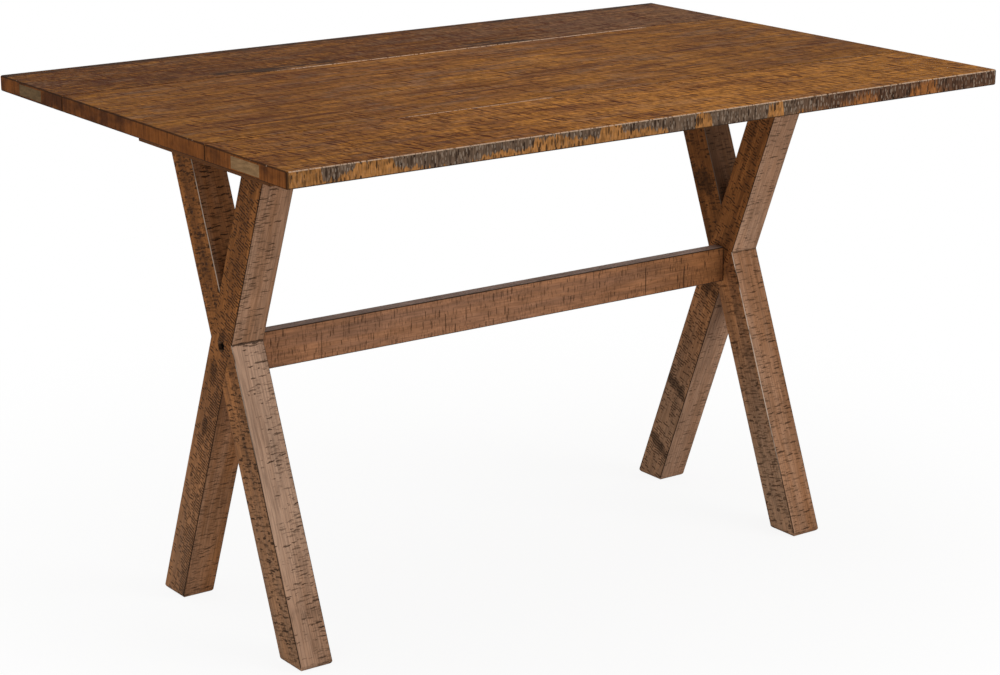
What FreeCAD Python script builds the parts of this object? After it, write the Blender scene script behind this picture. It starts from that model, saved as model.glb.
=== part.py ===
import FreeCAD
import Part
import math
import os

Vector = FreeCAD.Vector

# Flip-top trestle dining table, millimetres.
# X runs along the length, the front is -Y, Z is up, and the origin is on the floor under the middle.

# Table top: a fixed centre board and two leaves that fold over onto it.
table_height = 762.0
top_length = 1219.2
top_thickness = 23.0
center_width = 405.4
seam_gap = 1.5
fold_gap = 1.0
seam_easing = 1.5
rim_easing = 2.5
corner_easing = 4.0

# Pale plug let into each end of a leaf.
plug_width = 70.0
plug_height = 16.0
plug_depth = 14.0

# Trestles: two legs halved together in a cross.
trestle_end_inset = 153.75
leg_thickness = 52.0
leg_width = 53.5
foot_center_y = 170.3
crossing_height = 432.0
leg_easing = 1.5
sole_easing = 6.5

# Rail across the head of each trestle, grooved for two lopers.
rail_width = 96.0
rail_height = 50.0
rail_length = 364.0
rail_easing = 1.5
groove_width = 26.0
groove_depth = 21.0
groove_wall = 14.0

# Lopers: sliding bearers that are drawn out under the open leaves.
loper_length = 280.0
loper_reach = 122.0
loper_tuck = 2.7
loper_easing = 1.0
slide_clearance = 0.3
loper_end_clearance = 1.0
pull_radius = 7.0
pull_depth = 3.0
pull_inset = 9.0

# Pin in the groove floor that stops a loper at both ends of its slot.
stop_pin_radius = 3.0
stop_pin_rise = 8.0
stop_pin_seat = 12.0
stop_pin_inset = 20.0
stop_slot_side = 0.4
stop_slot_over = 1.0

# Stretcher between the two crossings.
stretcher_thickness = 22.0
stretcher_height = 56.0
stretcher_center_z = 409.75
stretcher_easing = 2.0

# Bolt, washer, barrel nut and dowel at each end of the stretcher.
bolt_rise = 15.0
bolt_radius = 4.0
bolt_grip = 46.0
bolt_head_radius = 6.5
bolt_head_height = 8.0
bolt_socket_across = 6.0
bolt_socket_depth = 4.5
counterbore_radius = 8.5
counterbore_depth = 14.0
washer_radius = 8.0
washer_thickness = 1.6
barrel_nut_radius = 6.0
barrel_nut_length = 18.0
barrel_nut_depth = 32.0
barrel_hole_floor = 2.0
dowel_radius = 5.0
dowel_length = 50.0
dowel_drop = 14.0

# Screws that draw the legs up to the rail, and the rail up to the centre board.
leg_screw_sink = 1.0
leg_screw_bite = 40.0
leg_screw_shift_y = 6.0
rail_screw_bore_radius = 6.0
rail_screw_bore_depth = 12.0
rail_screw_end_inset = 22.0
rail_screw_cover = 6.0

# Concealed hinges in each seam.
hinge_end_inset = 109.6
hinge_inner_share = 0.34
cup_width = 34.0
cup_wall = 1.2
cup_cheek = 2.5
plate_width = 62.0
plate_thickness = 2.0
link_pivot_inset = 5.0
link_pivot_depth = 9.0
link_reach = 19.0
link_bow = 6.6
link_thickness = 3.0
link_knuckle_radius = 3.0
link_tip_radius = 1.6
link_side_clearance = 0.5
link_end_clearance = 0.6
link_dip_room = 1.5
link_tip_room = 3.0
link_pin_radius = 1.5
plate_screw_inset = 7.0

# Fits.
fit_clearance = 0.05
hole_overrun = 0.3

# Places worked out from the sizes above.
underside_z = table_height - top_thickness
rail_bottom_z = underside_z - rail_height
groove_floor_z = underside_z - groove_depth
center_edge_y = center_width / 2
seam_y = center_edge_y + seam_gap / 2
leaf_edge_y = center_edge_y + seam_gap
leaf_width = center_edge_y - fold_gap / 2
leg_slope = foot_center_y / crossing_height
leg_half_run = leg_width / 2 * math.sqrt(1 + leg_slope ** 2)
trestle_center_x = top_length / 2 - trestle_end_inset
leg_inner_x = trestle_center_x - leg_thickness / 2
leg_outer_x = trestle_center_x + leg_thickness / 2
groove_center_shift = (groove_wall + groove_width) / 2
loper_travel = loper_reach + loper_tuck
bolt_z = stretcher_center_z + bolt_rise
dowel_z = stretcher_center_z - dowel_drop
pocket_top = -link_pivot_depth + link_tip_radius + link_tip_room
pocket_bottom = -link_pivot_depth - link_bow - link_thickness / 2 - link_dip_room
cup_top = pocket_top + cup_wall
cup_bottom = pocket_bottom - cup_wall
pocket_width = cup_width - 2 * cup_cheek
link_width = pocket_width - 2 * link_side_clearance
hinge_outer_x = top_length / 2 - hinge_end_inset
hinge_inner_x = hinge_outer_x * hinge_inner_share
hinge_places = (-hinge_outer_x, -hinge_inner_x, hinge_inner_x, hinge_outer_x)

# Screw sizes: head radius, head depth, shank radius, length.
plate_screw = (3.2, 1.8, 1.6, 18.0)
leg_screw = (6.0, 3.5, 3.0, rail_height - groove_depth - leg_screw_sink + leg_screw_bite)
rail_screw = (4.5, 2.5, 2.25, rail_height - rail_screw_bore_depth + top_thickness - rail_screw_cover)


def block(x0, x1, y0, y1, z0, z1):
    """Box between two corners."""
    return Part.makeBox(x1 - x0, y1 - y0, z1 - z0, Vector(x0, y0, z0))


def rod(start, direction, radius, length):
    """Cylinder from a start point along a direction."""
    return Part.makeCylinder(radius, length, Vector(*start), Vector(*direction))


def eased(shape, radius, wanted=None):
    """Round the edges of a shape, or only those that pass a test on their middle point."""
    edges = shape.Edges
    if wanted:
        edges = [edge for edge in edges if wanted(edge.CenterOfMass)]
    return shape.makeFillet(radius, edges)


def turned(shape):
    """Copy turned half round about the upright axis."""
    copy = shape.copy()
    copy.rotate(Vector(0, 0, 0), Vector(0, 0, 1), 180)
    return copy


def mirrored(shape):
    """Copy for the other end of the table."""
    return shape.mirror(Vector(0, 0, 0), Vector(1, 0, 0))


def cut_all(shape, tools):
    """Shape with every tool cut away."""
    return shape.cut(Part.makeCompound(tools))


def save(name, shape):
    """Write one piece, or a list of like pieces, as a node."""
    if isinstance(shape, list):
        shape = Part.makeCompound(shape)
    shape.exportStep("parts/" + name + ".step")


def countersunk_screw(head, direction, size, grow=0.0):
    """Wood screw from the middle of its head, or its hole where grow is the clearance."""
    head_radius, head_depth, shank_radius, length = size
    along = Vector(*direction)
    start = Vector(*head)
    tip_length = 2 * shank_radius
    body = Part.makeCone(head_radius + grow, shank_radius + grow, head_depth, start, along)
    shank_length = length - head_depth - tip_length
    neck = start + along * head_depth
    body = body.fuse(Part.makeCylinder(shank_radius + grow, shank_length, neck, along))
    tip = neck + along * shank_length
    point_radius = shank_radius * 0.1
    body = body.fuse(Part.makeCone(shank_radius + grow, point_radius + grow, tip_length + grow, tip, along))
    if grow:
        mouth = start - along * hole_overrun
        body = body.fuse(Part.makeCylinder(head_radius + grow, hole_overrun, mouth, along))
    return body.removeSplitter()


def board(y0, y1, seams):
    """Board of the top: slightly eased along its seams, rounder along its free rims and corners."""
    def on_seam(middle):
        return any(abs(middle.y - seam) < seam_easing for seam in seams)

    def on_corner(middle):
        return underside_z < middle.z - rim_easing and middle.z + rim_easing < table_height

    plain = block(-top_length / 2, top_length / 2, y0, y1, underside_z, table_height)
    seam_eased = eased(plain, seam_easing, on_seam)
    if any(on_corner(edge.CenterOfMass) and not on_seam(edge.CenterOfMass) for edge in plain.Edges):
        plain = eased(plain, corner_easing, lambda middle: on_corner(middle) and not on_seam(middle))
    rim_eased = eased(plain, rim_easing, lambda middle: not on_corner(middle) and not on_seam(middle))
    return seam_eased.common(rim_eased)


# Legs, rails, stretcher and their fastenings


def leg_profile(foot_sign):
    """Leg of the left trestle before halving; its foot stands at foot_sign times Y."""
    def run_y(z):
        return foot_sign * (foot_center_y - leg_slope * z)

    corners = [
        Vector(-leg_outer_x, run_y(0) - leg_half_run, 0),
        Vector(-leg_outer_x, run_y(0) + leg_half_run, 0),
        Vector(-leg_outer_x, run_y(rail_bottom_z) + leg_half_run, rail_bottom_z),
        Vector(-leg_outer_x, run_y(rail_bottom_z) - leg_half_run, rail_bottom_z),
    ]
    face = Part.Face(Part.makePolygon(corners + corners[:1]))
    prism = face.extrude(Vector(leg_thickness, 0, 0))
    long_eased = eased(prism, leg_easing, lambda middle: leg_easing < middle.z < rail_bottom_z - leg_easing)
    sole_eased = eased(prism, sole_easing, lambda middle: middle.z < leg_easing)
    return long_eased.common(sole_eased)


def head_y(foot_sign):
    """Y of a leg's middle line where it meets the rail."""
    return foot_sign * (foot_center_y - leg_slope * rail_bottom_z)


def leg_screw_places():
    """Heads of the left trestle's leg screws, one in each groove over each leg."""
    places = []
    for foot_sign in (-1, 1):
        y = head_y(foot_sign) + foot_sign * leg_screw_shift_y
        for shift in (-groove_center_shift, groove_center_shift):
            places.append((-trestle_center_x + shift, y, groove_floor_z - leg_screw_sink))
    return places


def leg_screws(grow=0.0):
    """Screws down from the groove floors into the legs of the left trestle."""
    return [countersunk_screw(place, (0, 0, -1), leg_screw, grow) for place in leg_screw_places()]


def rail_screw_heads():
    """Heads of the screws that go up through the left rail's middle wall."""
    end_y = rail_length / 2 - rail_screw_end_inset
    return [(-trestle_center_x, y, rail_bottom_z + rail_screw_bore_depth) for y in (-end_y, 0, end_y)]


def rail_screws(grow=0.0):
    """Screws up through the left rail into the centre board."""
    return [countersunk_screw(head, (0, 0, 1), rail_screw, grow) for head in rail_screw_heads()]


def stretcher_bolt_parts():
    """Bolt, washer, barrel nut and dowel of the left end, each as its solid."""
    seat_x = -leg_outer_x + counterbore_depth
    washer = rod((seat_x - washer_thickness, 0, bolt_z), (1, 0, 0), washer_radius, washer_thickness)
    washer = washer.cut(rod((seat_x - 2 * washer_thickness, 0, bolt_z), (1, 0, 0),
                            bolt_radius + fit_clearance, 3 * washer_thickness))
    head_x = seat_x - washer_thickness - bolt_head_height
    bolt = rod((head_x, 0, bolt_z), (1, 0, 0), bolt_head_radius, bolt_head_height)
    shank_end = -leg_inner_x + bolt_grip
    shank_start = head_x + bolt_head_height
    bolt = bolt.fuse(rod((shank_start, 0, bolt_z), (1, 0, 0), bolt_radius, shank_end - shank_start))
    corner_radius = bolt_socket_across / math.sqrt(3)
    hexagon = [
        Vector(head_x, corner_radius * math.cos(math.radians(60 * k)),
               bolt_z + corner_radius * math.sin(math.radians(60 * k)))
        for k in range(7)
    ]
    socket = Part.Face(Part.makePolygon(hexagon)).extrude(Vector(bolt_socket_depth, 0, 0))
    bolt = bolt.cut(socket)
    nut_x = -leg_inner_x + barrel_nut_depth
    nut = rod((nut_x, -barrel_nut_length / 2, bolt_z), (0, 1, 0), barrel_nut_radius, barrel_nut_length)
    nut = nut.cut(rod((nut_x - 2 * barrel_nut_radius, 0, bolt_z), (1, 0, 0),
                      bolt_radius + fit_clearance, 4 * barrel_nut_radius))
    dowel = rod((-leg_inner_x - dowel_length / 2, 0, dowel_z), (1, 0, 0), dowel_radius, dowel_length)
    return bolt, washer, nut, dowel


def stretcher_holes():
    """Holes of the left end for the bolt, its washer and head, the barrel nut and the dowel."""
    nut_x = -leg_inner_x + barrel_nut_depth
    back_y = stretcher_thickness / 2
    nut_floor_y = -back_y + barrel_hole_floor
    return [
        rod((-leg_outer_x - hole_overrun, 0, bolt_z), (1, 0, 0),
            counterbore_radius, counterbore_depth + hole_overrun),
        rod((-leg_outer_x, 0, bolt_z), (1, 0, 0),
            bolt_radius + fit_clearance, leg_thickness + bolt_grip + hole_overrun),
        rod((nut_x, nut_floor_y, bolt_z), (0, 1, 0),
            barrel_nut_radius + fit_clearance, back_y - nut_floor_y + hole_overrun),
        rod((-leg_inner_x - dowel_length / 2 - hole_overrun, 0, dowel_z), (1, 0, 0),
            dowel_radius + fit_clearance, dowel_length + 2 * hole_overrun),
    ]


def left_legs():
    """The two halved legs of the left trestle: front foot first, then rear foot."""
    front_foot = leg_profile(-1)
    rear_foot = leg_profile(1)
    reach_y = foot_center_y + leg_width
    outer_half = block(-leg_outer_x, -trestle_center_x, -reach_y, reach_y, 0, rail_bottom_z)
    inner_half = block(-trestle_center_x, -leg_inner_x, -reach_y, reach_y, 0, rail_bottom_z)
    holes = stretcher_holes() + leg_screws(fit_clearance)
    front_leg = cut_all(front_foot.cut(rear_foot.common(outer_half)), holes)
    rear_leg = cut_all(rear_foot.cut(front_foot.common(inner_half)), holes)
    return front_leg, rear_leg


def left_rail():
    """Rail of the left trestle with its two grooves, stop pin holes and screw holes."""
    half = rail_length / 2
    rail = block(-trestle_center_x - rail_width / 2, -trestle_center_x + rail_width / 2,
                 -half, half, rail_bottom_z, underside_z)
    rail = eased(rail, rail_easing, lambda middle: middle.z < underside_z - rail_easing)
    tools = leg_screws(fit_clearance) + rail_screws(fit_clearance)
    for side in (-1, 1):
        middle_x = -trestle_center_x + side * groove_center_shift
        inner_end = center_edge_y - loper_tuck - loper_length - loper_end_clearance
        y0, y1 = sorted((side * inner_end, side * (half + hole_overrun)))
        tools.append(block(middle_x - groove_width / 2, middle_x + groove_width / 2,
                           y0, y1, groove_floor_z, underside_z))
        tools.append(stop_pin(side, fit_clearance))
    for place in rail_screw_heads():
        tools.append(rod((place[0], place[1], rail_bottom_z - hole_overrun), (0, 0, 1),
                         rail_screw_bore_radius, rail_screw_bore_depth + hole_overrun))
    for x, y, z in leg_screw_places():
        tools.append(rod((x, y, z), (0, 0, 1), leg_screw[0] + fit_clearance, leg_screw_sink + hole_overrun))
    return cut_all(rail, tools)


def stop_pin_y(side):
    """Y of the stop pin for the loper that slides towards side times Y."""
    return side * (rail_length / 2 - stop_pin_inset)


def stop_pin(side, grow=0.0):
    """Stop pin of one groove of the left rail, or its hole."""
    middle_x = -trestle_center_x + side * groove_center_shift
    foot = (middle_x, stop_pin_y(side), groove_floor_z - stop_pin_seat - grow)
    return rod(foot, (0, 0, 1), stop_pin_radius + grow, stop_pin_seat + stop_pin_rise + grow)


def left_loper(side):
    """Loper of the left rail, drawn out towards side times Y."""
    middle_x = -trestle_center_x + side * groove_center_shift
    half_width = groove_width / 2 - slide_clearance
    tip_y = center_edge_y + loper_reach
    bottom_z = groove_floor_z + slide_clearance
    y0, y1 = sorted((side * tip_y, side * (tip_y - loper_length)))
    top_z = underside_z - slide_clearance
    bar = block(middle_x - half_width, middle_x + half_width, y0, y1, bottom_z, top_z)
    bar = eased(bar, loper_easing)
    pin_room = stop_pin_radius + stop_slot_side
    slot_top_z = groove_floor_z + stop_pin_rise + stop_slot_over
    slot_y0, slot_y1 = sorted((stop_pin_y(side), stop_pin_y(side) + side * loper_travel))
    slot = block(middle_x - pin_room, middle_x + pin_room, slot_y0, slot_y1, bottom_z, slot_top_z)
    for end_y in (slot_y0, slot_y1):
        slot = slot.fuse(rod((middle_x, end_y, bottom_z), (0, 0, 1), pin_room, slot_top_z - bottom_z))
    pull = rod((middle_x - groove_width, side * (tip_y - pull_inset), bottom_z - pull_radius + pull_depth),
               (1, 0, 0), pull_radius, 2 * groove_width)
    return cut_all(bar, [slot, pull])


def stretcher():
    """Stretcher with the holes of both ends."""
    half_y = stretcher_thickness / 2
    half_z = stretcher_height / 2
    bar = block(-leg_inner_x, leg_inner_x, -half_y, half_y,
                stretcher_center_z - half_z, stretcher_center_z + half_z)
    bar = eased(bar, stretcher_easing)
    holes = stretcher_holes()
    return cut_all(bar, holes + [mirrored(hole) for hole in holes])


# Concealed hinges, drawn in the front seam. "Out" is the distance from the seam's middle towards the
# leaf, and "up" the height above the top face.


def hinge_block(x0, x1, out0, out1, up0, up1):
    """Box in the front seam's own measures."""
    return block(x0, x1, -seam_y - out1, -seam_y - out0, table_height + up0, table_height + up1)


def hinge_rod(x0, x1, out, up, radius):
    """Cylinder along the front seam."""
    return rod((x0, -seam_y - out, table_height + up), (1, 0, 0), radius, x1 - x0)


def cup_depth(leaf_side):
    """How far a cup's pocket reaches from the middle of the seam."""
    if leaf_side:
        return link_reach - link_pivot_inset + link_tip_radius + link_end_clearance
    return link_pivot_inset + link_knuckle_radius + link_end_clearance


def cup_outline(x, leaf_side):
    """Solid outline of one hinge cup with its face plate; also the mortise that takes it."""
    sign = 1 if leaf_side else -1
    face = sign * seam_gap / 2
    back = sign * (cup_depth(leaf_side) + cup_wall)
    plate_back = face + sign * plate_thickness
    body = hinge_block(x - cup_width / 2, x + cup_width / 2, *sorted((face, back)), cup_bottom, cup_top)
    plate = hinge_block(x - plate_width / 2, x + plate_width / 2, *sorted((face, plate_back)),
                        cup_bottom, cup_top)
    return body.fuse(plate).removeSplitter()


def plate_screws(x, leaf_side, grow=0.0):
    """The two screws of one cup's face plate, or their holes."""
    sign = 1 if leaf_side else -1
    face_y = -seam_y - sign * seam_gap / 2
    middle_z = table_height + (cup_top + cup_bottom) / 2
    offset = plate_width / 2 - plate_screw_inset
    return [
        countersunk_screw((x + side * offset, face_y, middle_z), (0, -sign, 0), plate_screw, grow)
        for side in (-1, 1)
    ]


def hinge_pin(x, grow=0.0):
    """Pin of one link, across the cheeks of the centre cup."""
    half = cup_width / 2
    return hinge_rod(x - half, x + half, -link_pivot_inset, -link_pivot_depth, link_pin_radius + grow)


def hinge_cup(x, leaf_side):
    """One cup with its pocket, screw holes and, on the centre side, its pin hole."""
    sign = 1 if leaf_side else -1
    mouth = sign * (seam_gap / 2 - hole_overrun)
    back = sign * cup_depth(leaf_side)
    pocket = hinge_block(x - pocket_width / 2, x + pocket_width / 2, *sorted((mouth, back)),
                         pocket_bottom, pocket_top)
    tools = [pocket] + plate_screws(x, leaf_side, fit_clearance)
    if not leaf_side:
        tools.append(hinge_pin(x, fit_clearance))
    return cut_all(cup_outline(x, leaf_side), tools)


def hinge_link(x):
    """Bowed link: a knuckle on the pin, a dip under the seam, and a tip inside the leaf cup."""
    x0 = x - link_width / 2
    x1 = x + link_width / 2
    half = link_thickness / 2
    near = -link_pivot_inset
    far = near + link_reach
    high = -link_pivot_depth
    low = high - link_bow
    solids = [
        hinge_rod(x0, x1, near, high, link_knuckle_radius),
        hinge_block(x0, x1, near - half, near + half, low, high),
        hinge_rod(x0, x1, near, low, half),
        hinge_block(x0, x1, near, far, low - half, low + half),
        hinge_rod(x0, x1, far, low, half),
        hinge_block(x0, x1, far - half, far + half, low, high),
        hinge_rod(x0, x1, far, high, link_tip_radius),
    ]
    link = solids[0].multiFuse(solids[1:]).removeSplitter()
    bore = hinge_rod(x0 - half, x1 + half, near, high, link_pin_radius + fit_clearance)
    return link.cut(bore)


def seam_cuts(leaf_side):
    """Mortises and screw holes of one side of the front seam."""
    cuts = []
    for x in hinge_places:
        cuts.append(cup_outline(x, leaf_side))
        cuts.extend(plate_screws(x, leaf_side, fit_clearance))
    return cuts


# Boards of the top


def front_leaf_plugs():
    """Pale plugs in the two ends of the front leaf."""
    middle_y = -leaf_edge_y - leaf_width / 2
    middle_z = table_height - top_thickness / 2
    end_x = -top_length / 2
    left = block(end_x, end_x + plug_depth, middle_y - plug_width / 2, middle_y + plug_width / 2,
                 middle_z - plug_height / 2, middle_z + plug_height / 2)
    return [left, mirrored(left)]


def front_leaf():
    """Front leaf with its plug pockets and hinge mortises."""
    leaf = board(-leaf_edge_y - leaf_width, -leaf_edge_y, (-leaf_edge_y,))
    return cut_all(leaf, front_leaf_plugs() + seam_cuts(True))


def center_top():
    """Centre board with the hinge mortises of both seams and the rail screw holes."""
    top = board(-center_edge_y, center_edge_y, (-center_edge_y, center_edge_y))
    cuts = seam_cuts(False)
    screws = rail_screws(fit_clearance)
    cuts = cuts + [turned(cut) for cut in cuts]
    return cut_all(top, cuts + screws + [mirrored(screw) for screw in screws])


def build():
    """Write every piece of the table."""
    os.makedirs("parts", exist_ok=True)
    save("center_top", center_top())
    leaf = front_leaf()
    save("front_leaf", leaf)
    save("rear_leaf", turned(leaf))
    plugs = front_leaf_plugs()
    save("front_leaf_end_plugs", plugs)
    save("rear_leaf_end_plugs", [turned(plug) for plug in plugs])

    front_leg, rear_leg = left_legs()
    save("left_front_leg", front_leg)
    save("left_rear_leg", rear_leg)
    save("right_rear_leg", turned(front_leg))
    save("right_front_leg", turned(rear_leg))
    rail = left_rail()
    save("left_top_rail", rail)
    save("right_top_rail", turned(rail))
    save("stretcher", stretcher())

    bolt, washer, nut, dowel = stretcher_bolt_parts()
    save("stretcher_bolts", [bolt, mirrored(bolt)])
    save("stretcher_washers", [washer, mirrored(washer)])
    save("stretcher_barrel_nuts", [nut, mirrored(nut)])
    save("stretcher_dowels", [dowel, mirrored(dowel)])
    screws = leg_screws()
    save("leg_screws", screws + [turned(screw) for screw in screws])
    screws = rail_screws()
    save("rail_screws", screws + [mirrored(screw) for screw in screws])

    front_loper = left_loper(-1)
    rear_loper = left_loper(1)
    save("left_front_loper", front_loper)
    save("left_rear_loper", rear_loper)
    save("right_rear_loper", turned(front_loper))
    save("right_front_loper", turned(rear_loper))
    pins = [stop_pin(side) for side in (-1, 1)]
    save("loper_stop_pins", pins + [turned(pin) for pin in pins])

    hinge_pieces = {
        "hinge_center_cups": [hinge_cup(x, False) for x in hinge_places],
        "hinge_leaf_cups": [hinge_cup(x, True) for x in hinge_places],
        "hinge_links": [hinge_link(x) for x in hinge_places],
        "hinge_pins": [hinge_pin(x) for x in hinge_places],
        "hinge_center_screws": [screw for x in hinge_places for screw in plate_screws(x, False)],
        "hinge_leaf_screws": [screw for x in hinge_places for screw in plate_screws(x, True)],
    }
    for name, solids in hinge_pieces.items():
        save("front_" + name, solids)
        save("rear_" + name, [turned(solid) for solid in solids])


build()
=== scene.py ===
import math

import bpy
from bpy.props import FloatProperty, FloatVectorProperty, PointerProperty
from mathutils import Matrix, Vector


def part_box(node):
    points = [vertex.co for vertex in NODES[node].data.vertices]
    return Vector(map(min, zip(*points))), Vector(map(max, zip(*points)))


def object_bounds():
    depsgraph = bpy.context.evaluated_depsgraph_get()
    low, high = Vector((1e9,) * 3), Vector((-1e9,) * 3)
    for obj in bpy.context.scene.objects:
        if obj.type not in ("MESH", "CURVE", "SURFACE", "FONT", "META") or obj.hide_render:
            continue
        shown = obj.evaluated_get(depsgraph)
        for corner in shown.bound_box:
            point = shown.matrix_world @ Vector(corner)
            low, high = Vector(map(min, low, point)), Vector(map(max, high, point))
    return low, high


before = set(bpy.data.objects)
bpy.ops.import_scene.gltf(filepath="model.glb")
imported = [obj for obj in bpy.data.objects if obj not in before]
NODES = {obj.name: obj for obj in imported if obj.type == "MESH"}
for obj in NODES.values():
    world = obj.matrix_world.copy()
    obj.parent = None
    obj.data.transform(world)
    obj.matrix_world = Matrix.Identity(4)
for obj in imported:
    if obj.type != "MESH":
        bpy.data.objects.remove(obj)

bl_info = {
    "name": "Flip-Top Trestle Table",
    "version": (1, 0, 0),
    "blender": (4, 5, 0),
    "location": "View3D > Sidebar > Table",
    "description": "Finishes a flip-top trestle table in rough-sawn stained wood and sets its studio",
    "category": "Object",
}

CAD_LOW, CAD_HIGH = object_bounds()
SEAM_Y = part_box("center_top")[1].y
TOP_Z = CAD_HIGH.z
BOARD_THICKNESS = TOP_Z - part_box("center_top")[0].z

RAILS = ("left_top_rail", "right_top_rail")
LOPERS = ("left_front_loper", "right_front_loper", "left_rear_loper", "right_rear_loper")
PLUGS = ("front_leaf_end_plugs", "rear_leaf_end_plugs")
BOLT_NODES = ("stretcher_bolts", "stretcher_washers", "stretcher_barrel_nuts")
PLATED_NODES = ("leg_screws", "rail_screws", "loper_stop_pins", "front_hinge_center_screws",
                "front_hinge_leaf_screws", "rear_hinge_center_screws", "rear_hinge_leaf_screws")
HINGE_NODES = ("front_hinge_center_cups", "front_hinge_leaf_cups", "front_hinge_links", "front_hinge_pins",
               "rear_hinge_center_cups", "rear_hinge_leaf_cups", "rear_hinge_links", "rear_hinge_pins")

# Height of the leg crossings.
CROSSING_Z = 0.432

# Stain: specular levels on the top and on the legs, gain and base of the roughness, depth of the saw marks.
TOP_GLOSS = 0.006
LEG_GLOSS = 0.015
STAIN_ROUGHNESS = (0.25, 0.42)
SAW_DEPTH = 0.0005

# Middle and half length of the stretches along X where the upper arrises of the top are pale, as worn wood
# and a painted highlight.
# A half length well below 0 means nowhere.
FRONT_RIM_PALE = (0.0, 0.70)
FRONT_SEAM_PALE = (-0.19, 0.13)
REAR_SEAM_PALE = (0.10, 0.33)
REAR_RIM_PALE = (0.0, -0.30)

# Stretches along X where the front edge is clean wood, with how clean (below 0: more sawn than elsewhere),
# and where its browner right end begins.
FRONT_EDGE_CLEAN = ((-0.612, -0.560, 0.75), (-0.513, -0.456, 0.48), (-0.400, -0.239, -0.25),
                    (-0.239, -0.150, 0.06), (-0.130, -0.095, 0.75), (0.032, 0.061, 0.85),
                    (0.162, 0.190, 0.95), (0.323, 0.374, 0.50), (0.432, 0.487, 0.60))
FRONT_EDGE_BROWN = 0.24

# Look of each board, with its seed. honey, dun, streaks, blot, fleck: how much there is of each, and with
# _right how much more to the right; dun_sheen_right makes the rear leaf greyer to the right, as dull stain
# and a painted sheen. tone: brightness. dusk: how much darker the left and right ends are. patch: length of
# the honey patches. grain, speckle: contrast. depth: darkness of the saw marks. worn_and_highlit_arris, pale:
# where the upper front and rear arrises are pale, as worn wood and a painted highlight, and how much.
# blot_lines: Y, width, middle and half length of lines of blots.
TOP_LOOKS = {
    "center_top": {
        "seed": 0.0, "honey": 0.49, "honey_right": 0.03, "tone": 0.81, "dusk": (0.10, 0.10), "patch": 0.090,
        "grain": 0.54, "speckle": 0.34, "dun": 0.55, "fleck": 0.42, "fleck_right": 0.07, "depth": 1.05,
        "blot": 0.30, "streaks": 0.75, "worn_and_highlit_arris": (FRONT_SEAM_PALE, REAR_SEAM_PALE), "pale": 0.60},
    "front_leaf": {
        "seed": 40.0, "honey": 0.50, "honey_right": 0.10, "tone": 0.96, "dusk": (0.17, 0.09),
        "patch": 0.060, "grain": 0.44, "speckle": 0.44, "dun": 0.30, "fleck": 0.60, "depth": 1.2,
        "blot": 0.42, "streaks": 0.40, "worn_and_highlit_arris": (FRONT_RIM_PALE, FRONT_SEAM_PALE), "pale": 0.58},
    "rear_leaf": {
        "seed": 80.0, "honey": 0.38, "tone": 0.64, "dusk": (0.05, -0.06), "patch": 0.085, "grain": 0.70,
        "speckle": 0.50, "dun": 0.46, "dun_sheen_right": 0.26, "fleck": 0.58, "depth": 1.3, "blot": 0.70,
        "streaks": 0.65, "worn_and_highlit_arris": (REAR_SEAM_PALE, REAR_RIM_PALE), "pale": 0.95,
        "blot_lines": ((SEAM_Y, 0.044, -0.25, 0.09), (SEAM_Y, 0.050, 0.15, 0.05),
                       (CAD_HIGH.y, 0.030, 0.0, 0.62))},
}

# Look of each leg, with its seed. Pairs are for above and below the crossing, heights count from there.
# side, front: brightness of those faces, partly stain and partly painted light and shade where the top shades
# the upper legs; the right front leg's front above the crossing is darkened as a painted shadow of the top.
# fawn_and_sheen: share of lighter stain in front, which also carries a painted sheen, golden_foot: less
# below.
# dusty: paleness towards the foot. hatch, hatch_step, hatch_width: length, spacing and half width of strokes
# on the sides, or saw_step: spacing of whole saw lines. hatch_slant, wave: their slant and sway. hatch_share,
# hatch_front: how many there are, and how they gather to the front. dots: how many more dots than strokes.
# ticks, lean_to: how many ticks the front has, and how they gather to the right. depth: darkness of marks.
# lap: darkness of the halving's line. pale_arris, pale_end: how pale the near arris is, as worn wood and a
# painted highlight, and its lower end.
# knots: height, place across, half height, half width. stains: height and strength of bands in front.
FRONT_FOOT_LOOK = {
    "hatch": 0.020, "hatch_step": 0.0052, "hatch_width": 0.0012, "hatch_slant": -0.12, "wave": 0.004,
    "dots": (0.02, -0.14)}
REAR_FOOT_LOOK = {
    "hatch": 0.012, "saw_step": 0.0047, "hatch_slant": 0.0, "wave": 0.002, "dots": (-0.20, -0.25)}
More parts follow.
